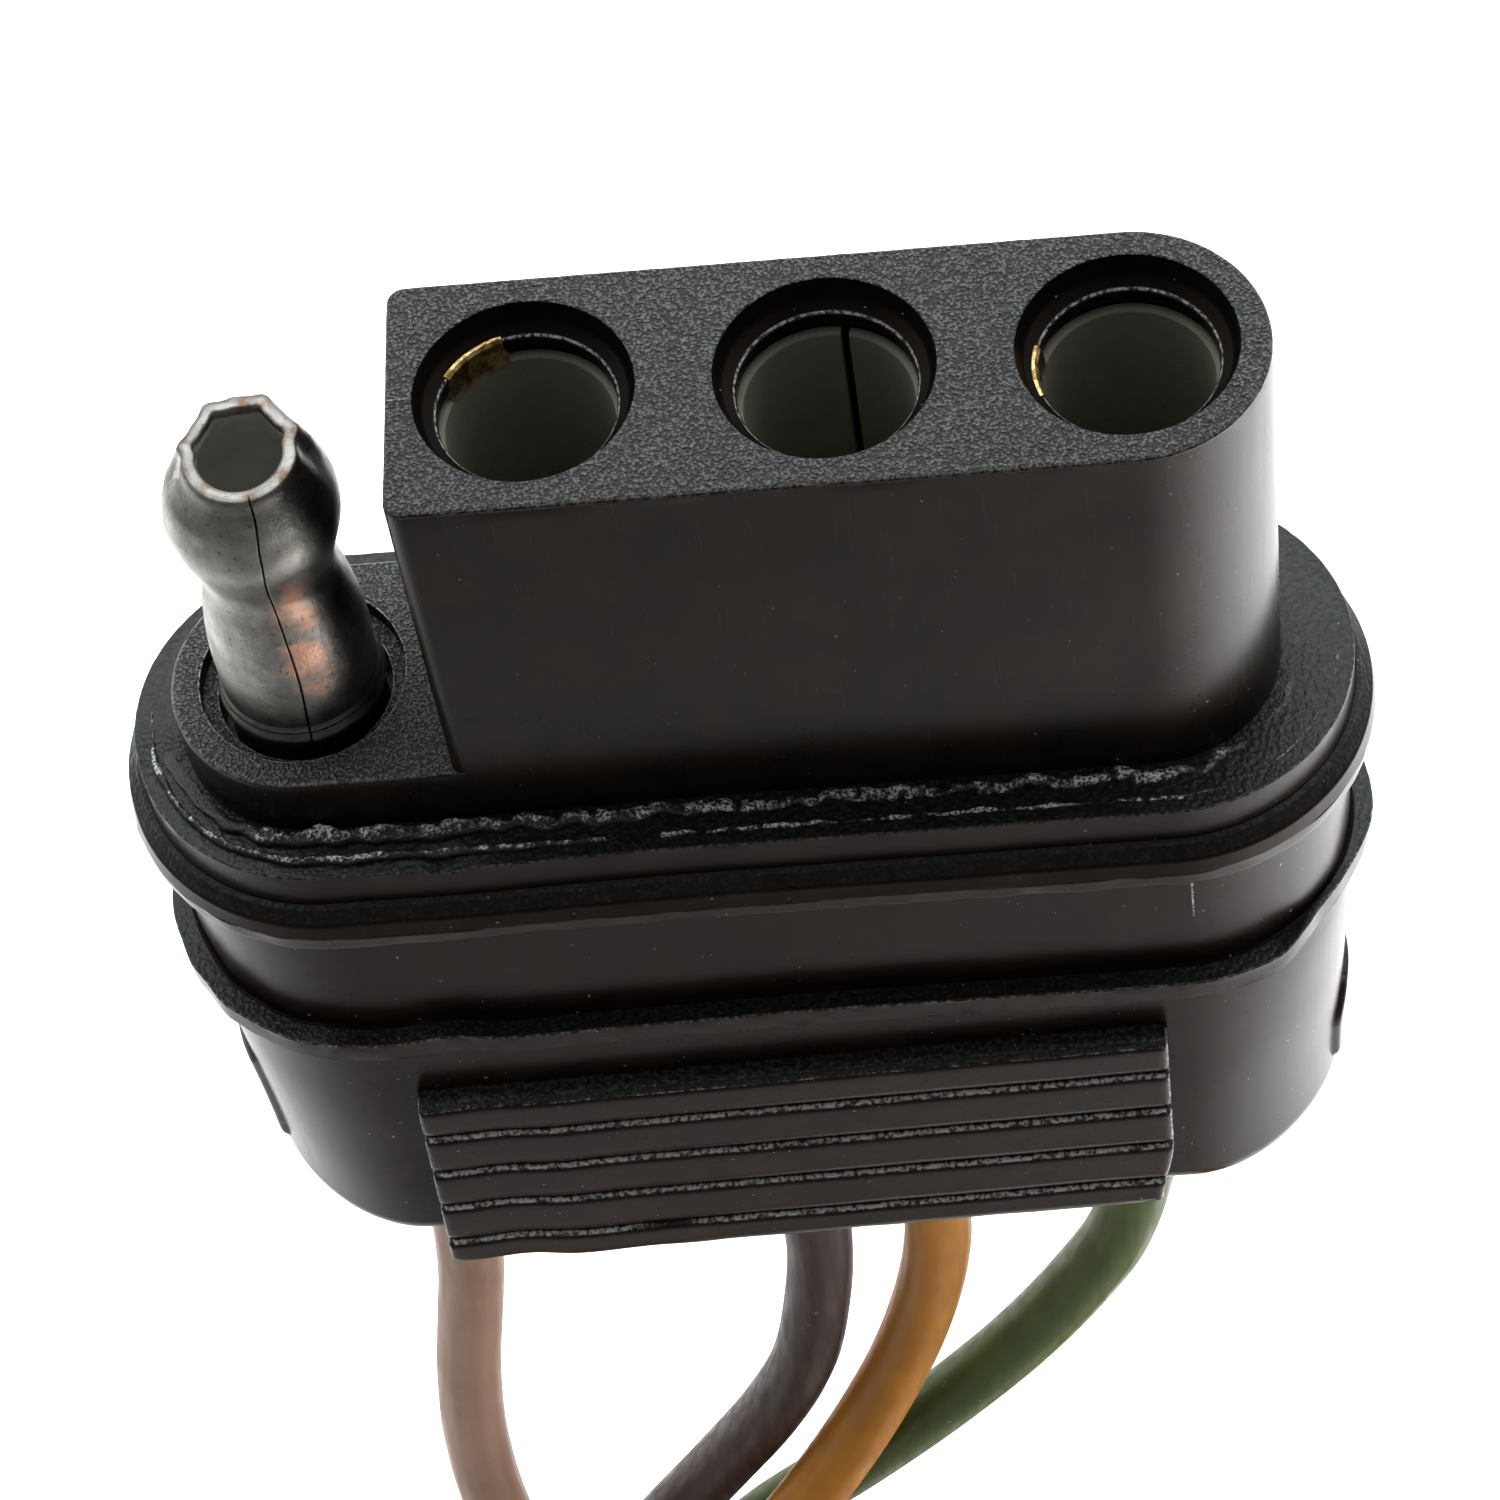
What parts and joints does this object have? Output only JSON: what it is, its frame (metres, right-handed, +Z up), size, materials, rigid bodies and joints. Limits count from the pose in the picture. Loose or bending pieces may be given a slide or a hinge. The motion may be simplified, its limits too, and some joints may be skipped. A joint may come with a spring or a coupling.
{
  "type": "trailer wiring connector",
  "caption": "Flat moulded vehicle-side trailer plug: a bare bullet terminal beside a shrouded socket block, in a ribbed overmoulded jacket with coloured wires.",
  "frame": {"origin": "the middle of the bracket groove between the jacket's two ribs, under the middle of the four terminals", "axes": "+Z up along the terminals, out of the mating face; +X along the row from the bullet to the sockets; +Y to the back"},
  "size_m": [0.0488, 0.0488, 0.1035],
  "materials": {
    "insert_pvc": "fine pebble grain on the faces, satin on the walls",
    "jacket_pvc": "satin flexible moulding",
    "tin_plate": "tin-plated rolled strip, lightly scuffed",
    "contact_brass": "bright stamped strip",
    "bare_copper": "bare twisted strands",
    "insulation_white": "satin extruded insulation",
    "insulation_brown": "satin extruded insulation",
    "insulation_yellow": "satin extruded insulation",
    "insulation_green": "satin extruded insulation",
    "coiled_wires": "four insulated wires wound together",
    "tie_nylon": "satin nylon"
  },
  "bodies": {
    "root": {"socket_insert": "insert_pvc", "overmould_jacket": "jacket_pvc", "bullet_terminal": "tin_plate", "socket_contact_brown": "contact_brass", "socket_contact_yellow": "contact_brass", "socket_contact_green": "contact_brass", "crimped_strands_white": "bare_copper", "crimped_strands_brown": "bare_copper", "crimped_strands_yellow": "bare_copper", "crimped_strands_green": "bare_copper", "wire_white": "insulation_white", "wire_brown": "insulation_brown", "wire_yellow": "insulation_yellow", "wire_green": "insulation_green", "stripped_end_white": "bare_copper", "stripped_end_brown": "bare_copper", "stripped_end_yellow": "bare_copper", "stripped_end_green": "bare_copper", "wire_coil": "coiled_wires", "coil_tie": "tie_nylon"}
  },
  "joints": []
}
